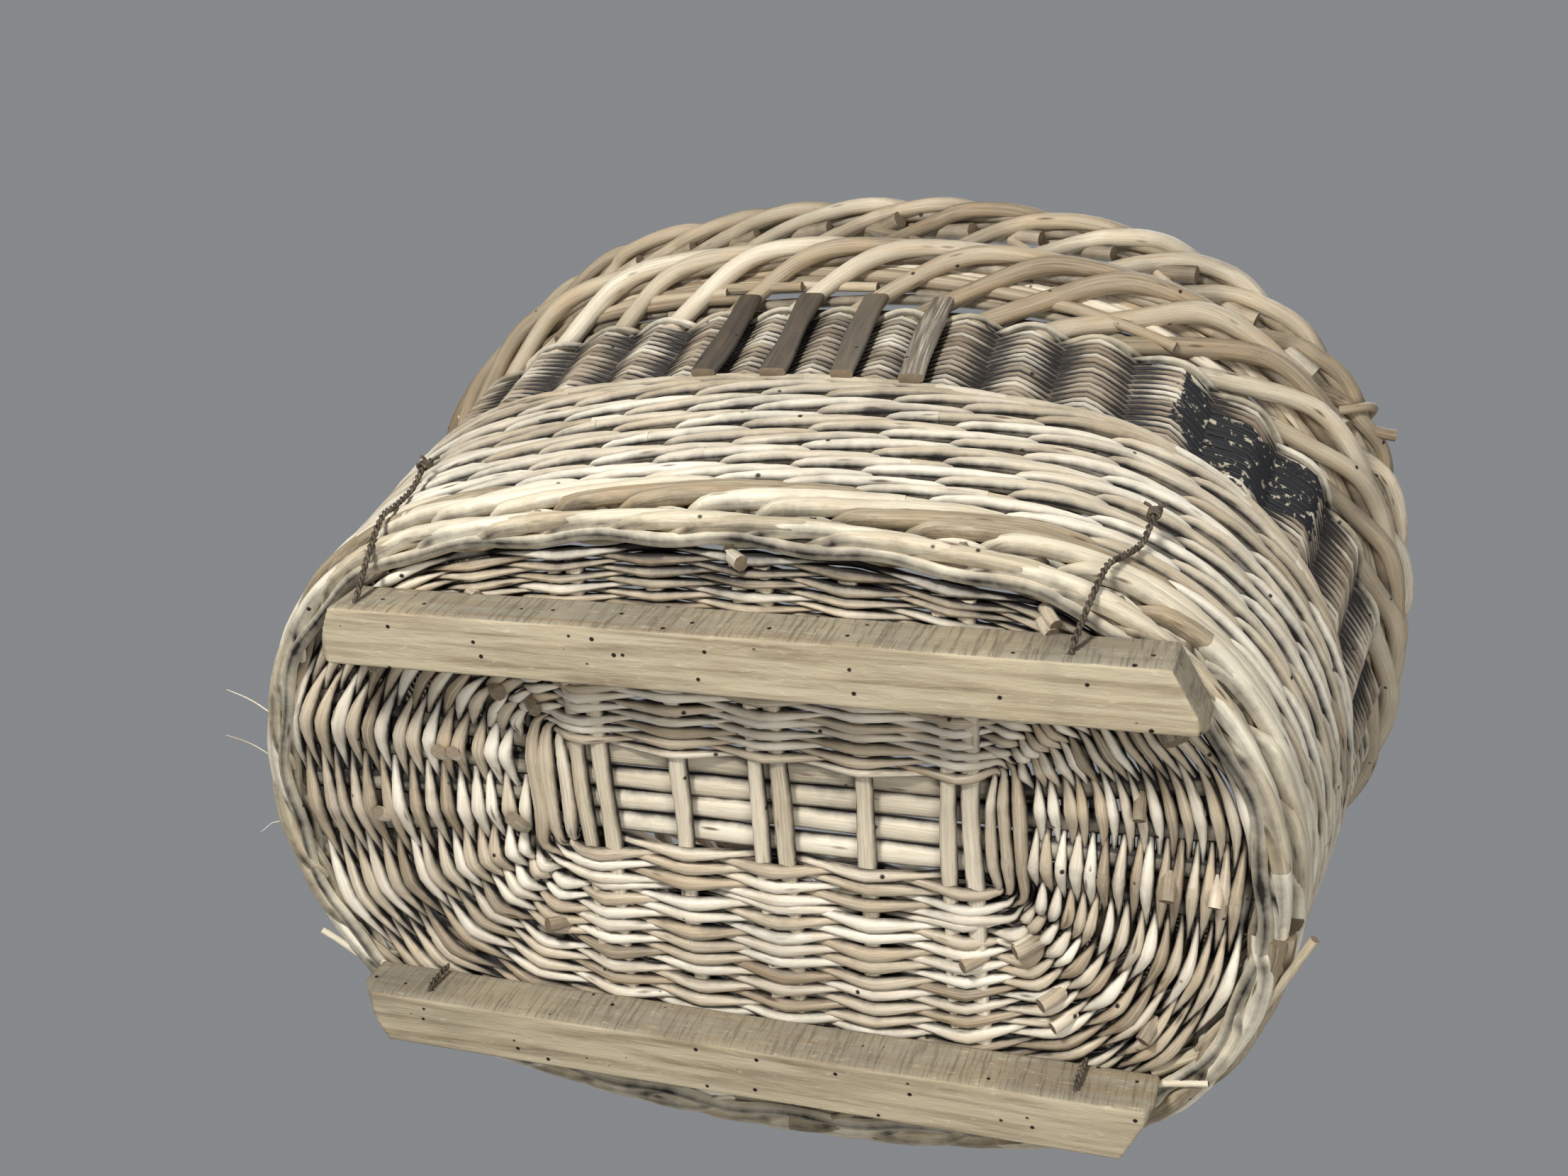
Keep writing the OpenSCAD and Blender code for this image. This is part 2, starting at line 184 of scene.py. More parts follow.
class Bundle:
    """Many rods gathered into one mesh.

    Each vertex keeps, for the material, its place in its own rod's space (the
    distance along it and the two offsets across it), its rod's tint, how deep
    in the weave it lies (0 at the face, 1 inside), painted as shade, and whether
    it is on a cut.
    """

    def __init__(self, name):
        self.name = name
        self.count = 0
        self.parts = {key: [] for key in ("co", "faces", "rod", "tint", "depth", "cut")}

    def _store(self, co, rod, tint, depth, cut):
        first = self.count
        n = len(co)
        for key, value in (("tint", tint), ("depth", depth), ("cut", cut)):
            self.parts[key].append(np.broadcast_to(np.asarray(value, float), n))
        self.parts["co"].append(co)
        self.parts["rod"].append(rod)
        self.count += n
        return first

    def add(self, path, across, thick=None, hint=(0, 0, 1), sides=8, square=2.0,
            depth=0.0, crease=0.0, wobble=0.05, tint=None, closed=False, cut=0.0):
        """One rod along path, with half sizes across and, along hint, thick.
        depth, painted as shade, is a number, one number a point, or a function of the
        vertices; crease adds more painted shade on the sides that face the neighbouring rods."""
        p = np.asarray(path, float)
        n = len(p)
        step = np.roll(p, -1, 0) - np.roll(p, 1, 0)
        if not closed:
            step[0] = p[1] - p[0]
            step[-1] = p[-1] - p[-2]
        tangent = step / (np.linalg.norm(step, axis=1, keepdims=True) + 1e-9)
        side = np.cross(tangent, np.broadcast_to(np.asarray(hint, float), p.shape))
        side /= np.linalg.norm(side, axis=1, keepdims=True) + 1e-9
        up = np.cross(side, tangent)
        across = np.broadcast_to(np.asarray(across, float), n)
        thick = across if thick is None else np.broadcast_to(thick, n)
        k = np.arange(sides) * TURN / sides
        flat = 2.0 / square
        cos = np.sign(np.cos(k)) * np.abs(np.cos(k)) ** flat
        sin = np.sign(np.sin(k)) * np.abs(np.sin(k)) ** flat
        along = np.concatenate([[0], np.cumsum(np.linalg.norm(np.diff(p, axis=0), axis=1))])
        swell = 1 + wobble * np.sin(along / SWELL_LENGTH + rng.uniform(0, 6))[:, None]
        swell = swell + wobble * rng.normal(0, 0.3, (n, sides))
        a = cos * across[:, None] * swell
        b = sin * thick[:, None] * swell
        co = p[:, None] + side[:, None] * a[..., None] + up[:, None] * b[..., None]
        start = rng.uniform(0, ROD_SPACE)
        rod = np.stack([np.broadcast_to(along[:, None], a.shape) + start, a, b], -1)
        tint = rng.uniform() if tint is None else tint
        if callable(depth):
            deep = depth(co)
        else:
            deep = np.broadcast_to(np.asarray(depth, float).reshape(-1, 1), (n, sides))
        deep = deep + crease * np.abs(np.cos(k)) ** 3
        co, rod, deep = co.reshape(-1, 3), rod.reshape(-1, 3), deep.reshape(-1)
        first = self._store(co, rod, tint, deep, cut)
        ring = np.arange(sides)
        row = np.arange(n if closed else n - 1)[:, None]
        nxt = (row + 1) % n
        self.parts["faces"].append(np.stack([
            first + row * sides + ring, first + row * sides + (ring + 1) % sides,
            first + nxt * sides + (ring + 1) % sides, first + nxt * sides + ring],
            -1).reshape(-1, 4))
        if not closed:
            crown = 0.1
            self._cap(p[0] - tangent[0] * across[0] * crown, slice(0, sides), tint, True)
            self._cap(p[-1] + tangent[-1] * across[-1] * crown,
                      slice((n - 1) * sides, n * sides), tint, False)

    def _cap(self, middle, rows, tint, start):
        """Closes a rod's end with a slightly crowned cut."""
        rim = self.parts["co"][-1 if start else -2][rows]
        rod = self.parts["rod"][-1 if start else -2][rows]
        co = np.concatenate([rim, middle[None]])
        centre = np.array([[rod[0, 0], 0, 0]])
        # A little painted shade on the cut.
        at = self._store(co, np.concatenate([rod, centre]), tint, 0.2, 1.0)
        ring = at + np.arange(len(rim))
        nxt = at + (np.arange(len(rim)) + 1) % len(rim)
        top = np.full(len(rim), at + len(rim))
        self.parts["faces"].append(np.stack(
            (nxt, ring, top, top) if start else (ring, nxt, top, top), -1))

    def build(self, material, slot, *nodes):
        """Makes the piece that stands for the named CAD nodes."""
        data = {key: np.concatenate(part) for key, part in self.parts.items()}
        return make_piece(self.name, data, material, slot, *nodes)


def make_piece(name, data, material, slot, *nodes):
    """Mesh object from millimetre points, standing for the named CAD nodes."""
    mesh = bpy.data.meshes.new(name)
    faces = data["faces"]
    is_quad = faces[:, 3] != faces[:, 2]
    loops = np.concatenate([faces[is_quad].reshape(-1), faces[~is_quad][:, :3].reshape(-1)])
    sizes = np.concatenate([np.full(is_quad.sum(), 4), np.full((~is_quad).sum(), 3)])
    mesh.vertices.add(len(data["co"]))
    mesh.vertices.foreach_set("co", (data["co"] * MM).reshape(-1))
    mesh.loops.add(len(loops))
    mesh.loops.foreach_set("vertex_index", loops.astype(np.int32))
    mesh.polygons.add(len(sizes))
    starts = np.concatenate([[0], np.cumsum(sizes)[:-1]])
    mesh.polygons.foreach_set("loop_start", starts.astype(np.int32))
    mesh.update(calc_edges=True)
    mesh.polygons.foreach_set("use_smooth", np.ones(len(sizes), bool))
    for key in ("rod", "tint", "depth", "cut", "paint"):
        if key in data:
            kind, field = ("FLOAT_VECTOR", "vector") if key == "rod" else ("FLOAT", "value")
            attribute = mesh.attributes.new(key, kind, "POINT")
            attribute.data.foreach_set(field, np.ascontiguousarray(data[key]).reshape(-1))
    mesh.materials.append(material)
    piece = bpy.data.objects.new(name, mesh)
    bpy.context.scene.collection.objects.link(piece)
    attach(piece, "root")
    if nodes:
        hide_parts(*nodes)
    return piece


# ---- Materials -------------------------------------------------------------------
class Nodes:
    """Short hand for building one material's nodes."""

    def __init__(self, name):
        self.material = bpy.data.materials.new(name)
        self.material.use_nodes = True
        self.tree = self.material.node_tree
        self.shader = self.tree.nodes["Principled BSDF"]
        self.out = self.tree.nodes["Material Output"]

    def link(self, source, target):
        if isinstance(source, (int, float)):
            target.default_value = source
        elif isinstance(source, tuple):
            target.default_value = source if len(source) == 3 and target.type == "VECTOR" \
                else (*source, 1.0)
        else:
            self.tree.links.new(source, target)

    def add(self, kind, output=0, inputs=(), **settings):
        node = self.tree.nodes.new("ShaderNode" + kind)
        for key, value in settings.items():
            setattr(node, key, value)
        for slot, source in dict(inputs).items():
            self.link(source, node.inputs[slot])
        return node.outputs[output]

    def attribute(self, name, output="Fac"):
        return self.add("Attribute", output, attribute_name=name)

    def math(self, kind, a, b=0.0, clamp=False):
        return self.add("Math", 0, {0: a, 1: b}, operation=kind, use_clamp=clamp)

    def scaled(self, vector, by):
        return self.add("VectorMath", 0, {0: vector, 1: by}, operation="MULTIPLY")

    def noise(self, vector, scale, detail=3.0, rough=0.55, w=None, distortion=0.0):
        inputs = {"Vector": vector, "Scale": scale, "Detail": detail,
                  "Roughness": rough, "Distortion": distortion}
        if w is None:
            return self.add("TexNoise", "Fac", inputs)
        inputs["W"] = w
        return self.add("TexNoise", "Fac", inputs, noise_dimensions="4D")

    def range(self, value, low, high, to_low=0.0, to_high=1.0):
        return self.add("MapRange", 0, {0: value, 1: low, 2: high, 3: to_low, 4: to_high})

    def ramp(self, value, *stops):
        node = self.tree.nodes.new("ShaderNodeValToRGB")
        node.color_ramp.elements[0].position = stops[0][0]
        node.color_ramp.elements[1].position = stops[-1][0]
        for place, colour in stops[1:-1]:
            node.color_ramp.elements.new(place)
        for element, (place, colour) in zip(node.color_ramp.elements, stops):
            element.color = (*colour, 1.0)
        self.link(value, node.inputs[0])
        return node.outputs[0]

    def mix(self, factor, a, b):
        node = self.tree.nodes.new("ShaderNodeMix")
        node.data_type = "RGBA"
        node.clamp_factor = True
        for slot, source in ((0, factor), (6, a), (7, b)):
            self.link(source, node.inputs[slot])
        return node.outputs[2]

    def finish(self, colour, rough, height, depth_mm=0.4, strength=0.6, specular=0.4):
        bump = self.add("Bump", 0, {"Height": height, "Distance": depth_mm * MM,
                                    "Strength": strength})
        self.link(colour, self.shader.inputs["Base Color"])
        self.link(rough, self.shader.inputs["Roughness"])
        self.link(bump, self.shader.inputs["Normal"])
        self.shader.inputs["Specular IOR Level"].default_value = specular
        return self.material


def linear(r, g, b):
    """Linear colour from the usual 0 to 255 values."""
    return tuple(((v / 255 + 0.055) / 1.055) ** 2.4 for v in (r, g, b))


# Dark colour for painted shade in the weave, and for dirt.
SHADE_AND_GRIME = linear(27, 21, 16)


def willow(name, pale, mid, dark, tan=0.5, shade_and_grime_amount=1.0, stain=0.35, painted=False):
    """Aged peeled willow: streaks along each rod, warm patches, knots, dirt, painted shade."""
    n = Nodes(name)
    rod = n.attribute("rod", "Vector")
    tint = n.attribute("tint")
    depth = n.attribute("depth")
    cut = n.attribute("cut")
    seed = n.math("MULTIPLY", tint, 57.0)
    place = n.add("TexCoord", "Object")
    streak = n.noise(n.scaled(rod, (0.02, 0.9, 0.9)), 1.0, 4.0, 0.6, seed)
    fine = n.noise(n.scaled(rod, (0.09, 2.6, 2.6)), 1.0, 3.0, 0.7, seed)
    patch = n.noise(n.scaled(rod, (0.022, 0.11, 0.11)), 1.0, 2.0, 0.5, seed)
    cloud = n.noise(place, 9.0, 3.0, 0.6)
    tone = n.math("ADD", n.math("MULTIPLY", streak, 0.55), n.math("MULTIPLY", tint, 0.45))
    colour = n.ramp(tone, (0.22, dark), (0.42, mid), (0.62, pale), (0.85, linear(244, 235, 214)))
    honey = n.math("MULTIPLY", n.range(patch, 0.48, 0.68), tan)
    colour = n.mix(honey, colour, linear(184, 150, 106))
    grey = n.math("MULTIPLY", n.range(cloud, 0.5, 0.72), stain)
    colour = n.mix(grey, colour, linear(122, 110, 92))
    colour = n.mix(n.range(fine, 0.56, 0.74, 0, 0.55), colour, linear(112, 90, 64))
    knots = n.add("TexVoronoi", "Distance", {
        "Vector": n.scaled(rod, (0.03, 0.16, 0.16)), "Scale": 1.0, "W": seed},
        voronoi_dimensions="4D")
    colour = n.mix(n.range(knots, 0.1, 0.24, 0.85, 0.0), colour, linear(82, 58, 36))
    holes = n.add("TexVoronoi", "Distance", {"Vector": place, "Scale": 42.0})
    pit = n.range(holes, 0.045, 0.085, 1.0, 0.0)
    colour = n.mix(pit, colour, linear(38, 27, 18))
    end = n.mix(n.noise(n.scaled(rod, (0.0, 0.5, 0.5)), 1.0, 3.0), linear(92, 78, 62),
                linear(142, 124, 98))
    colour = n.mix(cut, colour, end)
    # Painted shade, from how deep in the weave a place lies and from the creases, plus dirt
    # smudges.
    smudge = n.noise(place, 26.0, 4.0, 0.65)
    shade_and_dirt = n.math("ADD", n.math("MULTIPLY", depth, 1.25), n.range(smudge, 0.3, 0.8, -0.42, 0.3))
    shade_and_dirt = n.math("MULTIPLY", n.range(shade_and_dirt, 0.12, 1.0), 0.92 * shade_and_grime_amount, clamp=True)
    colour = n.mix(shade_and_dirt, colour, SHADE_AND_GRIME)
    height = n.math("ADD", n.math("MULTIPLY", streak, 0.6), n.math("MULTIPLY", fine, 0.5))
    height = n.math("SUBTRACT", height, n.math("MULTIPLY", pit, 0.9))
    rough = n.range(streak, 0.3, 0.7, 0.48, 0.68)
    if painted:
        paint = n.attribute("paint")
        edge = n.math("ADD", paint, n.range(n.noise(place, 60.0, 4.0, 0.7), 0.3, 0.7, -0.5, 0.5))
        black = n.range(edge, 0.45, 0.55)
        flecks = n.range(n.noise(place, 150.0, 3.0, 0.6), 0.6, 0.66)
        coat = n.mix(n.math("MULTIPLY", flecks, 0.6), linear(22, 22, 24), linear(214, 200, 172))
        colour = n.mix(black, colour, coat)
    return n.finish(colour, rough, height, 0.55, 0.7)


def old_wood(name, face, side, dark):
    """Weathered sawn runner: fibrous underside, greyer sides with saw marks."""
    n = Nodes(name)
    place = n.add("TexCoord", "Object")
    normal = n.add("SeparateXYZ", 2, {0: n.add("NewGeometry", "Normal")})
    down = n.range(normal, -0.85, -0.45, 1.0, 0.0)
    grain = n.noise(n.scaled(place, (7.0, 120.0, 120.0)), 1.0, 5.0, 0.65, distortion=0.4)
    fibre = n.noise(n.scaled(place, (85.0, 300.0, 300.0)), 1.0, 5.0, 0.75, distortion=0.6)
    cloud = n.noise(place, 14.0, 4.0, 0.6)
    saw = n.noise(n.scaled(place, (420.0, 8.0, 26.0)), 1.0, 3.0, 0.7)
    colour = n.mix(down, side, face)
    colour = n.mix(n.range(grain, 0.42, 0.66), colour, dark)
    colour = n.mix(n.range(cloud, 0.42, 0.7, 0.0, 0.5), colour, linear(184, 168, 136))
    saw_mark = n.math("MULTIPLY", n.range(saw, 0.5, 0.68), n.math("SUBTRACT", 1.0, down))
    colour = n.mix(n.math("MULTIPLY", saw_mark, 0.6), colour, linear(84, 74, 60))
    colour = n.mix(n.range(fibre, 0.58, 0.74, 0.0, 0.6), colour, linear(220, 207, 178))
    stain = n.noise(place, 7.0, 2.0, 0.5, distortion=0.5)
    colour = n.mix(n.range(stain, 0.58, 0.72, 0.0, 0.6), colour, linear(84, 80, 74))
    holes = n.add("TexVoronoi", "Distance", {"Vector": place, "Scale": 70.0})
    pit = n.range(holes, 0.07, 0.11, 1.0, 0.0)
    colour = n.mix(pit, colour, linear(30, 22, 16))
    height = n.math("ADD", n.math("MULTIPLY", grain, 0.6), n.math("MULTIPLY", fibre, 0.5))
    height = n.math("SUBTRACT", height, n.math("MULTIPLY", saw_mark, 0.25))
    height = n.math("SUBTRACT", height, pit)
    return n.finish(colour, n.range(grain, 0.3, 0.7, 0.72, 0.88), height, 0.9, 1.2, 0.25)


def rusty_wire(name):
    n = Nodes(name)
    place = n.add("TexCoord", "Object")
    rust = n.noise(place, 260.0, 4.0, 0.65)
    colour = n.ramp(rust, (0.32, linear(44, 39, 34)), (0.52, linear(88, 77, 64)),
                    (0.72, linear(132, 116, 92)))
    n.shader.inputs["Metallic"].default_value = 0.35
    return n.finish(colour, n.range(rust, 0.3, 0.7, 0.5, 0.8), rust, 0.3, 0.6)


base_willow = willow("base_willow", linear(232, 222, 202), linear(196, 180, 154),
                     linear(132, 116, 94), tan=0.3, shade_and_grime_amount=1.15, stain=0.35)
foot_willow = willow("foot_willow", linear(222, 212, 188), linear(192, 178, 150),
                     linear(134, 118, 92), tan=0.25, shade_and_grime_amount=1.1)
wall_willow = willow("wall_willow", linear(224, 215, 195), linear(196, 182, 156),
                     linear(142, 126, 102), tan=0.25, shade_and_grime_amount=1.1, stain=0.3)
fine_willow = willow("fine_willow", linear(200, 188, 166), linear(166, 150, 128),
                     linear(112, 96, 76), tan=0.2, shade_and_grime_amount=1.15, stain=0.35, painted=True)
# The border's willow is darker and greyer than the wall's, with extra grey stain: painted shade
# for the border.
border_willow = willow("border_willow", linear(202, 188, 162), linear(168, 152, 126),
                       linear(112, 96, 74), tan=0.3, shade_and_grime_amount=1.1, stain=0.45)
stick_wood = willow("stick_wood", linear(232, 220, 196), linear(198, 184, 158),
                    linear(132, 116, 94), tan=0.12, shade_and_grime_amount=1.1, stain=0.4)
grey_wood = willow("grey_wood", linear(104, 95, 82), linear(80, 71, 60),
                   linear(50, 43, 36), tan=0.1, shade_and_grime_amount=1.0, stain=0.3)
runner_wood = old_wood("runner_wood", linear(186, 172, 144), linear(144, 136, 118),
                       linear(134, 118, 94))
tie_metal = rusty_wire("tie_metal")


# ---- Base sticks -----------------------------------------------------------------
# The open window in the base's weave, as in the CAD model.
WINDOW_LOW = np.array([-108.0, -60.6])
WINDOW_HIGH = np.array([164.0, 6.6])
WINDOW_MID = (WINDOW_LOW + WINDOW_HIGH) / 2


def shade_below(z_face, reach, covered=0.0):
    """Depth function for painted shade: none at height z_face, full reach further in,
    and more painted shade where the sticks run on, covered, past the ends of the window."""
    def depth(co):
        past = np.abs(co[..., 0] - WINDOW_MID[0]) - (WINDOW_HIGH[0] - WINDOW_MID[0])
        return np.clip((co[..., 2] - z_face) / reach, 0, 1) + covered * ease(past, 0, 14)
    return depth


LONG_STICKS = 4
LONG_PITCH = 16.8
FAN = math.radians(5.0)
SHORT_STICKS = 8

for i in range(LONG_STICKS):
    node = f"long_stick_{i + 1}"
    low, high = node_box(node)
    k = i - (LONG_STICKS - 1) / 2
    x = np.linspace(low[0], high[0], 60)
    past = np.maximum(x - WINDOW_HIGH[0], 0) + np.maximum(WINDOW_LOW[0] - x, 0)
    y = WINDOW_MID[1] + k * LONG_PITCH + past * math.tan(k * FAN)
    y = y + 0.7 * np.sin(x / 51 + 2.1 * i)
    path = np.stack([x, y, np.full(60, (low[2] + high[2]) / 2)], -1)
    path[:, 2] += 0.8 * np.sin(x / 70 + i)
    bundle = Bundle(node.replace("_", "."))
    # Painted shade deeper in the base and where the stick runs on under the weave.
    bundle.add(path, 8.1, 4.6, sides=12, square=2.2, wobble=0.03,
               depth=shade_below(46.0, 16.0, 0.6), crease=0.75, tint=0.35 + 0.14 * i)
    bundle.build(stick_wood, "base_stick", node)

for i in range(SHORT_STICKS):
    node = f"short_stick_{i + 1}"
    low, high = node_box(node)
    mid = (low + high) / 2
    y = np.linspace(low[1], high[1], 50)
    x = mid[0] + 0.9 * np.sin(y / 40 + 1.7 * i) + 0.5 * np.sin(y / 17 + i)
    path = np.stack([x, y, np.full(50, mid[2] - 0.6)], -1)
    bundle = Bundle(node.replace("_", "."))
    # Painted shade deeper in the base.
    bundle.add(path, 5.9 if i % 3 else 5.2, 4.4, sides=12, square=2.6, wobble=0.06,
               depth=shade_below(39.0, 12.0), crease=0.5, tint=0.3 + 0.1 * (i % 4))
    bundle.build(stick_wood, "base_stick", node)


# ---- Base weave ------------------------------------------------------------------
EDGE_INSET = 5.0
SHORT_PITCH = 60.0


def edge_hit(origin, angle):
    """Where the ray from origin at angle meets the line inside the base's edge."""
    xy, _ = base_oval.at(np.linspace(0, 1, 2000, endpoint=False), -EDGE_INSET)
    d = xy - origin
    ray = np.array([math.cos(angle), math.sin(angle)])
    miss = np.abs(d[:, 0] * ray[1] - d[:, 1] * ray[0]) + 1e4 * (d @ ray < 0)
    return xy[np.argmin(miss)]


def base_spokes():
    """Inner end and outer end of each place where the rows pass a stick, and
    its phase in the rows round the window, which pass the corners unwoven."""
    spokes = []
    right, left = WINDOW_HIGH[0], WINDOW_LOW[0]
    rear, front = WINDOW_HIGH[1], WINDOW_LOW[1]
    corner_turns = [math.radians(a) for a in (22, 46, 68)]
    sides = [WINDOW_MID[0] + SHORT_PITCH * g for g in (2, 1, 0, -1, -2)]

    def long_pair(side, k):
        inner = np.array([right if side > 0 else left, WINDOW_MID[1] + k * LONG_PITCH])
        reach = BASE_L / 2 - EDGE_INSET - abs(inner[0])
        return inner, inner + np.array([side * reach, reach * math.tan(k * FAN)])

    def corner(x, y, start, phases):
        for turn, phase in zip(corner_turns, phases):
            angle = start + turn
            inner = np.array([x, y]) + 3 * np.array([math.cos(angle), math.sin(angle)])
            spokes.append((inner, edge_hit(np.array([x, y]), angle), phase))

    def long_side(xs, y, sign, phase):
        for j, x in enumerate(xs):
            spokes.append((np.array([x, y]), edge_hit(np.array([x, y]), sign * math.pi / 2),
                           phase + j))

    spokes.append((*long_pair(1, 1), 0.0))
    corner(right, rear, 0, (0.3, 0.5, 0.7))
    long_side(sides, rear, 1, 1)
    corner(left, rear, math.pi / 2, (5.3, 5.5, 5.7))
    spokes.append((*long_pair(-1, 1), 6.0))
    spokes.append((*long_pair(-1, -1), 6.0))
    corner(left, front, math.pi, (6.3, 6.5, 6.7))
    long_side(sides[::-1], front, -1, 7)
    corner(right, front, 1.5 * math.pi, (11.3, 11.5, 11.7))
    spokes.append((*long_pair(1, -1), 12.0))
    return spokes


spokes = base_spokes()
inner = np.array([s[0] for s in spokes])
outer = np.array([s[1] for s in spokes])
plain_phase = np.arange(len(spokes) + 1.0)
inner_phase = np.array([s[2] for s in spokes] + [12.0])
# Rows in all and those next the window, points from one stick to the next, how
# far a row swings up and down, and how far it dips where the sticks lie lower.
BASE_ROWS = 36
INNER_ROWS = 6
SAMPLES = 9
BASE_LIFT = 9.0
LAYER = 2.0
BASE_Z = (Z_BASE + Z_BASE_TOP) / 2
# Short sticks lie below the long ones, so the rows dip at the long sides.
on_long_side = np.array([1.0 if abs(s[2] - 3) <= 2.1 or abs(s[2] - 9) <= 2.1 else -1.0
                         for s in spokes])


def closed_curve(points, samples):
    """Closed Catmull-Rom curve through points, samples to each span."""
    u = (np.arange(samples) / samples)[:, None]
    a, b = np.roll(points, 1, 0), points
    c, d = np.roll(points, -1, 0), np.roll(points, -2, 0)
    spans = [0.5 * (2 * b[i] + (c[i] - a[i]) * u
                    + (2 * a[i] - 5 * b[i] + 4 * c[i] - d[i]) * u ** 2
                    + (3 * b[i] - a[i] - 3 * c[i] + d[i]) * u ** 3)
             for i in range(len(points))]
    return np.concatenate(spans)


def base_shade_and_patches(co):
    """Painted shade on the base between its faces, and two darker places below."""
    inside = np.clip(1 - np.abs(co[..., 2] - BASE_Z - 2.0) / 6.0, 0, 1)
    inside = np.maximum(inside, 0.3 * ease(co[..., 2], BASE_Z, BASE_Z + 4))
    x, y = co[..., 0], co[..., 1]
    front = ease(-y, 150, 190) * ease(x, -190, -40) * ease(-x, -290, -200)
    rear = ease(y, 110, 185) * ease(x, 20, 160)
    return np.clip(0.8 * inside + 0.5 * front + 0.4 * rear, 0, 1.2)


def base_row(k):
    """Path and half widths of row k of the base's weave."""
    f = (k + 0.6) / (BASE_ROWS + 0.2)
    wander = rng.normal(0, 0.006, len(spokes))
    points = inner + (outer - inner) * (f + wander * (0 < k < BASE_ROWS - 1))[:, None]
    xy = closed_curve(points, SAMPLES)
    u = np.arange(len(xy)) / SAMPLES
    table = inner_phase if k < INNER_ROWS else plain_phase
    phase = np.interp(u, np.arange(len(spokes) + 1), table) + k
    wave = 2 / math.pi * np.arcsin(0.97 * np.cos(math.pi * phase))
    dip = np.interp(u, np.arange(len(spokes) + 1), np.append(on_long_side, on_long_side[0]))
    z = BASE_Z - LAYER * dip - BASE_LIFT * wave
    gap = np.linalg.norm(closed_curve((outer - inner) / BASE_ROWS, SAMPLES), axis=1)
    half = gap * (0.43 + 0.6 * np.abs(wave) ** 0.8) * rng.uniform(0.9, 1.1)
    return rise(xy, z + rng.normal(0, 0.3)), np.clip(half, 1.6, 6.2)


BUTTS = 2
base_bundle = Bundle("base.weave")
for k in range(BASE_ROWS):
    path, half = base_row(k)
    # Painted shade between the base's faces and in the creases, and two darker places below.
    base_bundle.add(path, half, 3.6, sides=8, closed=True, wobble=0.09, depth=base_shade_and_patches,
                    crease=0.75)
    if k % 2 == 0 or k < INNER_ROWS:
        continue
    # Cut butts of rods that were let in, left standing out below the sticks, with a little
    # painted shade.
    for _ in range(BUTTS):
        j = int(rng.integers(len(spokes))) * SAMPLES
        lead = np.roll(path, -j, 0)[:SAMPLES]
        away = lead[4] - lead[0]
        away[2] = 0
        away /= np.linalg.norm(away) + 1e-9
        tip = lead[0] * [1, 1, 0] + [0, 0, Z_BASE - rng.uniform(1.5, 4.5)]
        root = tip - away * rng.uniform(9, 15) + [0, 0, 14]
        base_bundle.add(curve([root, (root + tip) / 2 - [0, 0, 1.2], tip], 5),
                        rng.uniform(3.8, 5.0), sides=9, depth=0.3, wobble=0.03)
base_bundle.build(base_willow, "base_willow", "base_weave")


# ---- Walls -----------------------------------------------------------------------
# Points from one stake to the next, and how many stake pitches the stakes are
# pulled back round at the top of the wall.
SPAN = 8
BACKWARD = 0.45


def wall_point(t, out, z):
    """Points and normals at part t of a turn, out from the stakes' line.
    Going up, the weaving has pulled the stakes a little way back round."""
    z = np.asarray(z, float)
    back = BACKWARD * (z - Z_BASE) / (Z_FINE_TOP - Z_BASE) / STAKES
    xy, normal = base_oval.at(t - back, lean(z) + out)
    return rise(xy, z), rise(normal, 0.0)


def jitter(count, spread, s):
    """Smooth random values along stake positions s."""
    knots = rng.normal(0, spread, count + 3)
    return np.interp(s, np.arange(count + 3), knots)


def wale(bundle, rods, turns, z_start, pitch, climb, reach, half_out, half_up,
         z_high=math.inf, rough=0.8, shade_and_dirt=0.7):
    """Spiral waling: each rod passes before rods - 1 stakes, then behind one.

    The spiral rises by pitch a turn and each stroke by climb; reach is how far
    the rods swing out and in, half_out and half_up are their half sizes. The
    last turn runs level under z_high.
    """
    count = int(turns * STAKES)
    for r in range(rods):
        s = np.arange(count * SPAN + 1) / SPAN
        phase = (s + r) % rods
        near = np.minimum(phase, rods - phase)
        front = ease(near, 0.0, 0.6)
        out = reach * (2 * front - 1) - 1.5 * ease(-near, -1.2, -0.5)
        z = z_start + pitch * s / STAKES + (phase / rods - 0.5) * climb * ease(near, 0, 0.3)
        z = np.minimum(z, z_high - 0.5 * half_up) + jitter(count, rough, s)
        path, normal = wall_point((s + 0.5) / STAKES, out, z)
        width = half_up * (0.4 + 0.6 * ease(near, 0.1, 1.3)) * (1 + jitter(count, 0.07, s))
        # Painted shade where the rod swings in behind the stakes, more in the creases between
        # rods.
        deep = np.maximum(np.clip(1 - (np.abs(out) + 1.0) / reach, 0, 1),
                          0.4 * np.clip(-out / reach, 0, 1))
        # The rod is let in again every few strokes, with a new tint each time.
        start = 0
        while start < len(s) - 2:
            length = int(rng.integers(2, 6)) * rods * SPAN
            stop = min(start + length + 2, len(s))
            part = slice(start, stop)
            bundle.add(path[part], width[part], half_out, hint=normal[part],
                       depth=shade_and_dirt * deep[part], crease=1.3 * shade_and_dirt, wobble=0.07)
            start += length


TURN_ROWS = 8
TURN_PITCH = 5.6
foot = Bundle("foot.wale")
wale(foot, rods=4, turns=1.25, z_start=Z_BASE + 21, pitch=16, climb=28, reach=8.5,
     half_out=6.0, half_up=7.4, rough=1.6, shade_and_dirt=0.4)
wale(foot, rods=3, turns=1.0, z_start=Z_BASE + 6, pitch=3, climb=9, reach=4.0,
     half_out=5.8, half_up=5.8, rough=0.8, shade_and_dirt=0.4)
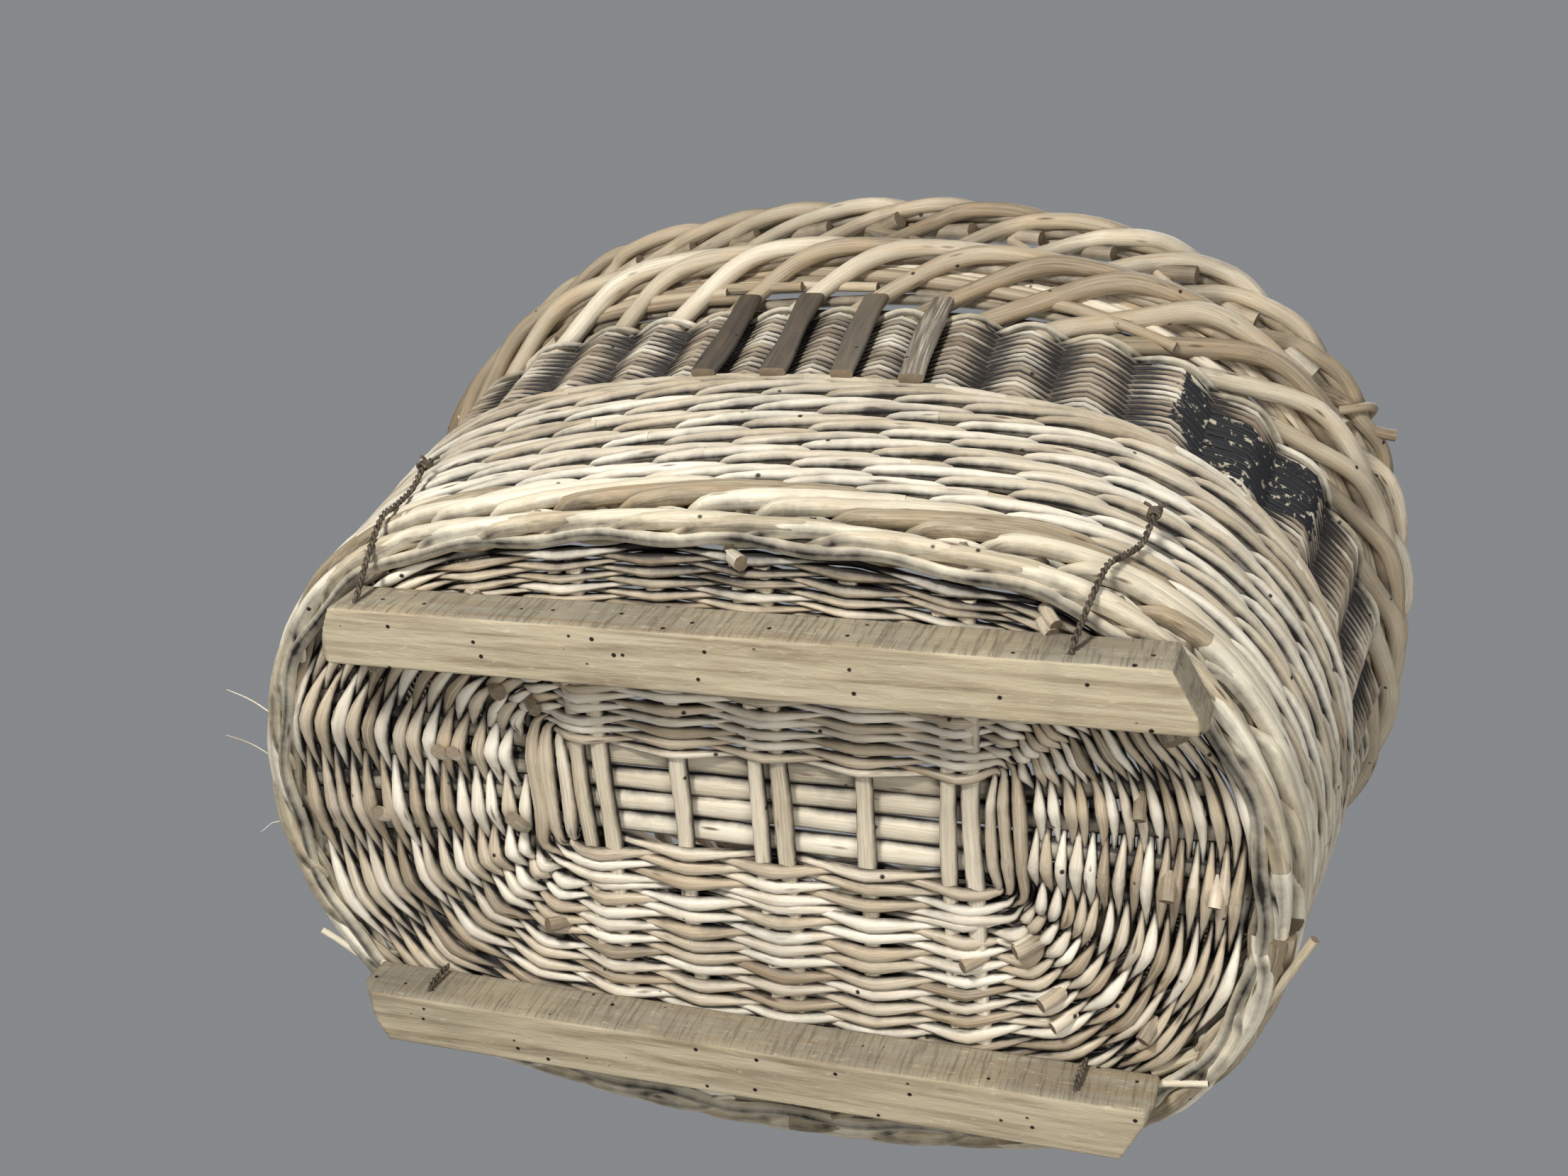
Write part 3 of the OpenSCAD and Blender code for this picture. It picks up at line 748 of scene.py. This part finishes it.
# Fine rows at the turn from the base to the walls, seen between the waling.
for k in range(TURN_ROWS):
    s = np.arange(STAKES * SPAN) / SPAN
    reach = min(2.0 + 1.5 * k, 6.0)
    z = Z_BASE + 4 + TURN_PITCH * k + jitter(STAKES, 0.5, s) * (s < STAKES - 1)
    path, normal = wall_point((s + 0.5) / STAKES, reach * np.cos(math.pi * (s + k)) - 5.0, z)
    # Painted shade on these rows and in their creases.
    foot.add(path, 3.6, 4.6, hint=normal, closed=True, crease=0.5, depth=0.3)
foot.build(foot_willow, "wall_willow", "foot_wale")

wale_bundle = Bundle("wall.wale")
COURSES = 6
PITCH = (Z_WALE_TOP - Z_FOOT_TOP) / COURSES
wale(wale_bundle, rods=3, turns=COURSES + 0.95, z_start=Z_FOOT_TOP - PITCH / 2 + 4,
     pitch=PITCH, climb=PITCH, reach=8.5, half_out=4.6, half_up=5.9, z_high=Z_WALE_TOP)
wale_bundle.build(wall_willow, "wall_willow", "wall_wale")


def paint_patch(co):
    """How far inside the old paint band at the front right corner a place is."""
    x, y, z = co[..., 0], co[..., 1], co[..., 2]
    along = np.arctan2(-y - 60, x - 170)
    band = 1 - np.abs(along - 0.78) / 0.44
    height = 1 - np.abs(z - 282 + 14 * np.sin(along * 9)) / 44
    return np.clip(np.minimum(band, height) * 2.5, -0.5, 1.0)


FINE_PITCH = 3.6
fine = Bundle("fine.weave")
for k in range(int((Z_FINE_TOP - Z_WALE_TOP) / FINE_PITCH)):
    s = np.arange(STAKES * SPAN) / SPAN
    # Straight runs between stakes and a tight turn over each one.
    swing = 2 / math.pi * np.arcsin(0.985 * np.cos(math.pi * (s + k)))
    out = 11.0 * swing - 1.0
    z = Z_WALE_TOP + FINE_PITCH * (k + 0.5) + jitter(STAKES, 0.45, s)
    z = z + np.clip(s - STAKES + 1, 0, 1) * (z[0] - z[-1])
    path, normal = wall_point((s + 0.5) / STAKES, out, z)
    # Painted shade, least where the rod swings furthest out or in, more in its creases.
    deep = np.clip(0.75 - 0.09 * np.abs(out), 0, 1)
    fine.add(path, 3.1 * (0.8 + 0.2 * np.abs(swing)), 2.9, hint=normal, sides=8,
             closed=True, wobble=0.08, depth=deep, crease=0.95)
fine.parts["paint"] = [paint_patch(np.concatenate(fine.parts["co"]))]
fine.build(fine_willow, "wall_willow", "fine_weave")

pairing = Bundle("pairing")
for r in (0, 1):
    s = np.arange(STAKES * SPAN) / SPAN
    swing = np.cos(math.pi * (s + r))
    z = (Z_FINE_TOP + Z_PAIR_TOP) / 2 + 2.6 * np.sin(math.pi * (s + r)) + jitter(STAKES, 0.5, s)
    path, normal = wall_point((s + 0.5) / STAKES, 8.4 * swing + 1.0, z)
    # Painted shade where the rod passes behind the stakes.
    pairing.add(path[:-4], 3.0, 3.0, hint=normal[:-4], crease=0.5,
                depth=np.clip(0.55 - swing[:-4], 0.2, 0.7))
pairing.build(foot_willow, "wall_willow", "pairing")


# ---- Stakes and border -------------------------------------------------------------
# How much higher the border stands, for each millimetre to the right.
LOPSIDE = 7.0 / 390.0


def sagged(path):
    """The border stands a little higher at the right than at the left."""
    path = np.array(path, float)
    path[:, 2] += LOPSIDE * path[:, 0] * ease(path[:, 2], Z_PAIR_TOP, Z_RING_TOP)
    return path


def soften(path, passes=10):
    """Rounds the bends of a path, with its two ends kept."""
    path = np.array(path, float)
    for _ in range(passes):
        path[1:-1] = 0.5 * path[1:-1] + 0.25 * (path[:-2] + path[2:])
    return path


def tube_point(oval, z_mid, t, radius, angle):
    """Points round a border's own middle line, angle 0 outwards, 90 up."""
    xy, normal = oval.at(t, radius * np.cos(angle))
    return rise(xy, z_mid + radius * np.sin(angle)), rise(normal, 0.0)


Z_RING_MID = (Z_RING + Z_RING_TOP) / 2
Z_RIM_MID = (Z_RIM + Z_RIM_TOP) / 2


def follow(oval, z_mid, t, stops):
    """Points (pitches past t, distance, degrees) round a border's middle line."""
    ds, radius, angle = np.array(stops, float).T
    return tube_point(oval, z_mid, t + ds / STAKES, radius, np.radians(angle))[0]


# Where a turned-down stake goes round the ring, and a crossing rod round the rim.
STAKE_STOPS = [(0.72, 11, -82), (1.15, 11, -22), (2.1, 10.5, 30), (3.1, 10, 82),
               (4.1, 9.5, 135), (5.2, 9, 178), (6.6, 13, 212), (8.2, 21, 234),
               (9.8, 30, 243), (11.0, 36, 246)]
ROD_STOPS = [(0.75, 11, -100), (1.25, 10.5, -45), (1.9, 10, 15), (2.5, 9.5, 80),
             (3.1, 9.5, 140), (3.6, 10, 195), (4.0, 13, 240), (4.25, 16, 262)]
# A direction that no rod of the border runs along.
ACROSS = (0.31, 0.2, 0.93)


def shaken(stops, spread):
    """The same stops, each a little out of place."""
    return np.array(stops) + rng.normal(0, 1, (len(stops), 3)) * spread


QUARTERS = ("rear_right", "rear_left", "front_left", "front_right")
QUARTER = STAKES // len(QUARTERS)
for q, quarter in enumerate(QUARTERS):
    stakes = Bundle("stakes." + quarter)
    for i in range(QUARTER * q, QUARTER * (q + 1)):
        t = (i + 0.5) / STAKES
        z = np.linspace(Z_BASE + 8, Z_PAIR_TOP + 1, 10)
        wall, _ = wall_point(np.full(10, t + rng.normal(0, 0.0004)), 0.0, z)
        stops = shaken(STAKE_STOPS, (0.05, 0.7, 4.0))
        over = follow(ring_oval, Z_RING_MID, t, stops[:int(rng.integers(7, 11))])
        path = soften(curve(np.concatenate([wall, over]), 7))
        u = np.linspace(0, 1, len(path))
        radius = rng.uniform(6.6, 7.8) * (1.0 - 0.45 * ease(u, 0.55, 1.0))
        # The stakes' lower parts, down in the weave, get painted shade.
        low = path[:, 2] < Z_PAIR_TOP - 6
        stakes.add(sagged(path), np.where(low, 5.4, radius), hint=ACROSS, sides=9,
                   depth=0.55 * low, crease=0.2, wobble=0.04)
    stakes.build(border_willow, "border_willow", "stakes_" + quarter)

    rods = Bundle("rods." + quarter)
    for i in range(QUARTER * q, QUARTER * (q + 1)):
        t = i / STAKES
        start = follow(ring_oval, Z_RING_MID, t, [(-0.6, 6, 160), (-0.1, 8, 100)])
        stops = shaken(ROD_STOPS, (0.05, 0.6, 6.0))
        path = curve(np.concatenate([start, follow(rim_oval, Z_RIM_MID, t, stops)]), 7)
        radius = rng.uniform(5.4, 6.8)
        u = np.linspace(0, 1, len(path))
        # Painted shade where the rod starts inside the ring and along its part round the rim.
        inside = 0.45 * ease(-u, -0.3, -0.1) + 0.3 * ease(u, 0.5, 0.75)
        rods.add(sagged(path), radius, hint=ACROSS, sides=9, wobble=0.04, depth=inside,
                 crease=0.3)
        if i % 2:
            # Thin rod inside, slanting the other way, with a little painted shade.
            low = follow(ring_oval, Z_RING_MID, t, [(0.6, 6, 130)])
            high = follow(rim_oval, Z_RIM_MID, t, [(-1.4, 7, 215)])
            middle = (low + high) / 2 + rng.normal(0, 2, (1, 3))
            rods.add(sagged(curve(np.concatenate([low, middle, high]), 9)), 3.6,
                     hint=ACROSS, depth=0.3)
    rods.build(border_willow, "border_willow", "rods_" + quarter)

# Ends of the turned-down stakes, run along inside behind the open work, with painted shade.
inner_rods = Bundle("inner.rods")
for level in range(4):
    t = rng.uniform(0, 1)
    last = t + 1
    while t < last:
        length = rng.uniform(5, 9) / STAKES
        u = np.linspace(0, 1, 20)
        z = Z_PAIR_TOP + 5 + 8.5 * level + 6 * u + 1.2 * np.sin(9 * u + level)
        part = ease(z, Z_PAIR_TOP, Z_RING_MID)
        wall, _ = wall_point(t + length * u, -8.0, z)
        ring, _ = ring_oval.at(t + length * u, -13.0)
        path = wall * (1 - part)[:, None] + rise(ring, z) * part[:, None]
        inner_rods.add(sagged(path), 4.6 - 1.2 * u, hint=ACROSS, depth=0.5, crease=0.3)
        t += length * 0.96
inner_rods.build(border_willow, "border_willow")

# Cores of the two borders: thin rods that follow them round, with painted shade.
for name, oval, z_mid, spread in (("front_ring", ring_oval, Z_RING_MID, 3.4),
                                  ("rim_border", rim_oval, Z_RIM_MID, 4.2)):
    core = Bundle(name.replace("_", "."))
    for j in range(3):
        t = np.linspace(0, 1, 121)[:-1]
        angle = TURN * (5 * t + j / 3)
        path = tube_point(oval, z_mid, t, spread, angle)[0]
        core.add(sagged(path), 4.0, closed=True, sides=7, depth=0.5)
    core.build(border_willow, "border_willow", name)

# Broken ends and loose fibres that stand off the foot and the ring: the radius
# of each at its root, and its points.
STRAYS = [
    (5.2, [(262, 135, 50), (300, 104, 44), (330, 62, 42), (352, 18, 40)]),
    (4.4, [(-262, 152, 54), (-290, 138, 46), (-322, 110, 38)]),
    (3.4, [(232, 150, 44), (262, 136, 38), (296, 128, 36)]),
    (0.6, [(-318, -50, 46), (-345, -66, 48), (-370, -70, 54)]),
    (0.5, [(-322, -14, 46), (-350, -32, 46), (-376, -36, 50)]),
    (0.5, [(-316, 34, 42), (-338, 22, 38), (-352, 30, 34)]),
    (5.0, [(-296, -158, 392), (-322, -168, 386), (-348, -160, 376)])]
strays = Bundle("strays")
for radius, points in STRAYS:
    path = curve(points, 5)
    strays.add(path, radius * np.linspace(1.0, 0.55, len(path)), sides=8, wobble=0.16)
strays.build(foot_willow, "wall_willow")

# Rod bent over the rim, its cut end left standing.
LOOP_TURN = 0.93
angle = np.radians(np.linspace(-95, 100, 16))
loop = Bundle("rim.loop")
path, _ = tube_point(rim_oval, Z_RIM_MID, LOOP_TURN + 0.25 * np.linspace(-1, 1, 16) / STAKES,
                     RIM_R + 2.0, angle)
loop.add(sagged(path), 3.6, hint=ACROSS, sides=9)
stub, _ = tube_point(rim_oval, Z_RIM_MID, LOOP_TURN + np.array([0.15, 0.3, 0.42]) / STAKES,
                     RIM_R + np.array([-8.0, 0, 9.0]), np.radians([-40.0, -22, -10]))
loop.add(sagged(curve(stub, 5)), 4.4, hint=ACROSS, sides=9)
loop.build(border_willow, "border_willow", "rim_loop")

# Dark flat sticks in front of the fine weave.
FLAT_STICKS = 4
FLAT_LEAN = math.radians(5.0)
for i in range(FLAT_STICKS):
    node = f"flat_stick_{i + 1}"
    low, high = node_box(node)
    drift = math.tan(FLAT_LEAN) * (high[2] - low[2])
    u = np.linspace(0, 1, 14)
    x = high[0] - 9.5 - drift * u + 1.3 * np.sin(4 * u + i)
    y = high[1] - 3.5 + (low[1] - high[1] + 7.0) * u
    z = low[2] - 6 + (high[2] - low[2] + 12) * u
    bar = Bundle(node.replace("_", "."))
    bar.add(np.stack([x, y, z], -1), 8.6 * (1 + 0.07 * np.sin(5 * u + 2 * i)), 3.3,
            hint=(0, -1, 0.14), sides=12, square=3.6, wobble=0.05, tint=0.2 + 0.2 * i)
    bar.build(grey_wood, "grey_stick", node)


# ---- Runners and ties ----------------------------------------------------------------
def worn_copy(node, name, material, voxel=2.2, rough=0.55):
    """Copy of a CAD solid with softened edges and a hand-sawn surface."""
    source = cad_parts[node]
    copy = bpy.data.objects.new(name + ".tmp", source.data.copy())
    bpy.context.scene.collection.objects.link(copy)
    remesh = copy.modifiers.new("remesh", "REMESH")
    remesh.mode = "VOXEL"
    remesh.voxel_size = voxel * MM
    smooth = copy.modifiers.new("smooth", "SMOOTH")
    smooth.factor = 0.5
    smooth.iterations = 3
    bpy.context.view_layer.update()
    shaped = copy.evaluated_get(bpy.context.evaluated_depsgraph_get())
    mesh = bpy.data.meshes.new_from_object(shaped)
    bpy.data.objects.remove(copy)
    co = np.empty(len(mesh.vertices) * 3)
    normal = np.empty(len(mesh.vertices) * 3)
    mesh.vertices.foreach_get("co", co)
    mesh.vertex_normals.foreach_get("vector", normal)
    co, normal = co.reshape(-1, 3), normal.reshape(-1, 3)
    for scale, height in ((Vector((6, 40, 40)), 1.0), (Vector((30, 150, 150)), 0.4)):
        amount = np.array([noise.noise(Vector(p) * scale) for p in co])
        co += normal * (amount * height * rough * MM)[:, None]
    mesh.vertices.foreach_set("co", co.reshape(-1))
    mesh.name = name
    mesh.materials.clear()
    mesh.materials.append(material)
    mesh.polygons.foreach_set("use_smooth", np.ones(len(mesh.polygons), bool))
    piece = bpy.data.objects.new(name, mesh)
    bpy.context.scene.collection.objects.link(piece)
    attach(piece, "root")
    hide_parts(node)
    return piece


worn_copy("runner_front", "runner.front", runner_wood)
worn_copy("runner_rear", "runner.rear", runner_wood)


# The wire's radius and a direction it never runs along, the runners' middle
# line, the holes in them, and how far the leaning tie leans to the right.
WIRE_R = 1.15
WIRE_ACROSS = (0.3, 0.2, 0.93)
RUNNER_Y = 146.0
HOLE_X, HOLE_Z = 221.0, 10.0
TIE_LEAN = 30.0


def twisted(bundle, path, pitch=9.0):
    """Two wires twisted together along path."""
    p = curve(path, 1.6)
    step = np.gradient(p, axis=0)
    tangent = step / np.linalg.norm(step, axis=1, keepdims=True)
    side = np.cross(tangent, WIRE_ACROSS)
    side /= np.linalg.norm(side, axis=1, keepdims=True)
    up = np.cross(side, tangent)
    along = np.concatenate([[0], np.cumsum(np.linalg.norm(np.diff(p, axis=0), axis=1))])
    for turn in (0, math.pi):
        k = along * TURN / pitch + turn
        offset = WIRE_R * (np.cos(k)[:, None] * side + np.sin(k)[:, None] * up)
        bundle.add(p + offset, WIRE_R, sides=6, wobble=0.0, hint=WIRE_ACROSS)


def skin(x, z, side, out=17.0):
    """Front (-1) or rear (+1) y of the weave's outer face, at x and height z."""
    t = np.linspace(0.5, 0.5 - 0.5 * side, 200)
    points, _ = wall_point(t, out, np.full(200, z))
    return float(np.interp(x, points[:, 0], points[:, 1]))


for side_name, side in (("front", -1), ("rear", 1)):
    for end_name, x in (("left", -HOLE_X), ("right", HOLE_X)):
        node = f"tie_{side_name}_{end_name}"
        low, high = node_box(node)
        lean_x = TIE_LEAN if node == "tie_front_right" else 0.0
        y_knot = low[1] + 4.5 if side < 0 else high[1] - 4.5
        knot = np.array([x + lean_x, y_knot, high[2] - 4.5])
        y_out, y_in = side * (RUNNER_Y + 22.0), side * (RUNNER_Y - 22.0)
        wall = [[x + lean_x * f, skin(x + lean_x * f, z, side), z]
                for f, z in ((0.85, 94), (0.6, 72), (0.36, 50))]
        path = [knot, *wall, [x, y_out + side * 1.5, 13],
                [x, y_out - side * 6, HOLE_Z], [x, y_in + side * 6, HOLE_Z],
                [x, y_in - side * 1.5, 13], [x + 2, y_in - side * 3, 33]]
        tie = Bundle(node.replace("_", "."))
        twisted(tie, path)
        # The knot: a few loose turns and two bent ends.
        k = np.linspace(0, 3.2 * TURN, 60)
        coil = knot + np.stack([3.2 * np.cos(k), side * 2.4 * np.sin(k),
                                np.linspace(-4, 6, 60)], -1)
        tie.add(coil, WIRE_R, sides=6, wobble=0.0, hint=WIRE_ACROSS)
        for turn in (-1, 1):
            end = knot + np.array([[0, 0, 4], [turn * 4, side * 2, 8], [turn * 7, side * 3, 9]])
            tie.add(curve(end, 1.5), 1.1, sides=6, wobble=0.0, hint=WIRE_ACROSS)
        tie.build(tie_metal, "tie_wire", node)


# ---- Stage ---------------------------------------------------------------------------
def stage_plane():
    """Pale floor, seen only from above, that keeps no light from the basket."""
    mesh = bpy.data.meshes.new("floor")
    reach = 6.0
    mesh.from_pydata([(-reach, -reach, 0), (reach, -reach, 0), (reach, reach, 0),
                      (-reach, reach, 0)], [], [(0, 1, 2, 3)])
    floor = bpy.data.objects.new("floor", mesh)
    bpy.context.scene.collection.objects.link(floor)
    n = Nodes("floor")
    n.shader.inputs["Base Color"].default_value = (0.62, 0.62, 0.61, 1)
    n.shader.inputs["Roughness"].default_value = 0.9
    clear = n.add("BsdfTransparent")
    below = n.add("NewGeometry", "Backfacing")
    joined = n.add("MixShader", 0, {0: below, 1: n.shader.outputs[0], 2: clear})
    n.tree.links.new(joined, n.out.inputs["Surface"])
    mesh.materials.append(n.material)
    floor.visible_shadow = False
    floor.visible_diffuse = False
    floor.visible_glossy = False


stage_plane()

world = bpy.data.worlds.new("studio")
world.use_nodes = True
world.node_tree.nodes["Background"].inputs["Color"].default_value = (0.80, 0.83, 0.88, 1)
world.node_tree.nodes["Background"].inputs["Strength"].default_value = 0.3
bpy.context.scene.world = world


LIT_POINT = Vector((0, 0, 0.2))


def area_light(name, at, size, power):
    """Round lamp, size metres across and power watts, turned to the basket."""
    data = bpy.data.lights.new(name, "AREA")
    data.shape = "DISK"
    data.size = size
    data.energy = power
    light = bpy.data.objects.new(name, data)
    light.location = at
    light.rotation_euler = (LIT_POINT - Vector(at)).to_track_quat("-Z", "Y").to_euler()
    bpy.context.scene.collection.objects.link(light)


area_light("key", (-0.35, -1.85, -1.1), 0.45, 52)
area_light("fill", (1.3, -0.4, -1.4), 1.2, 18)
area_light("top", (0.6, -0.8, 2.4), 1.2, 20)
area_light("rear", (-1.3, 2.0, 1.5), 1.4, 34)
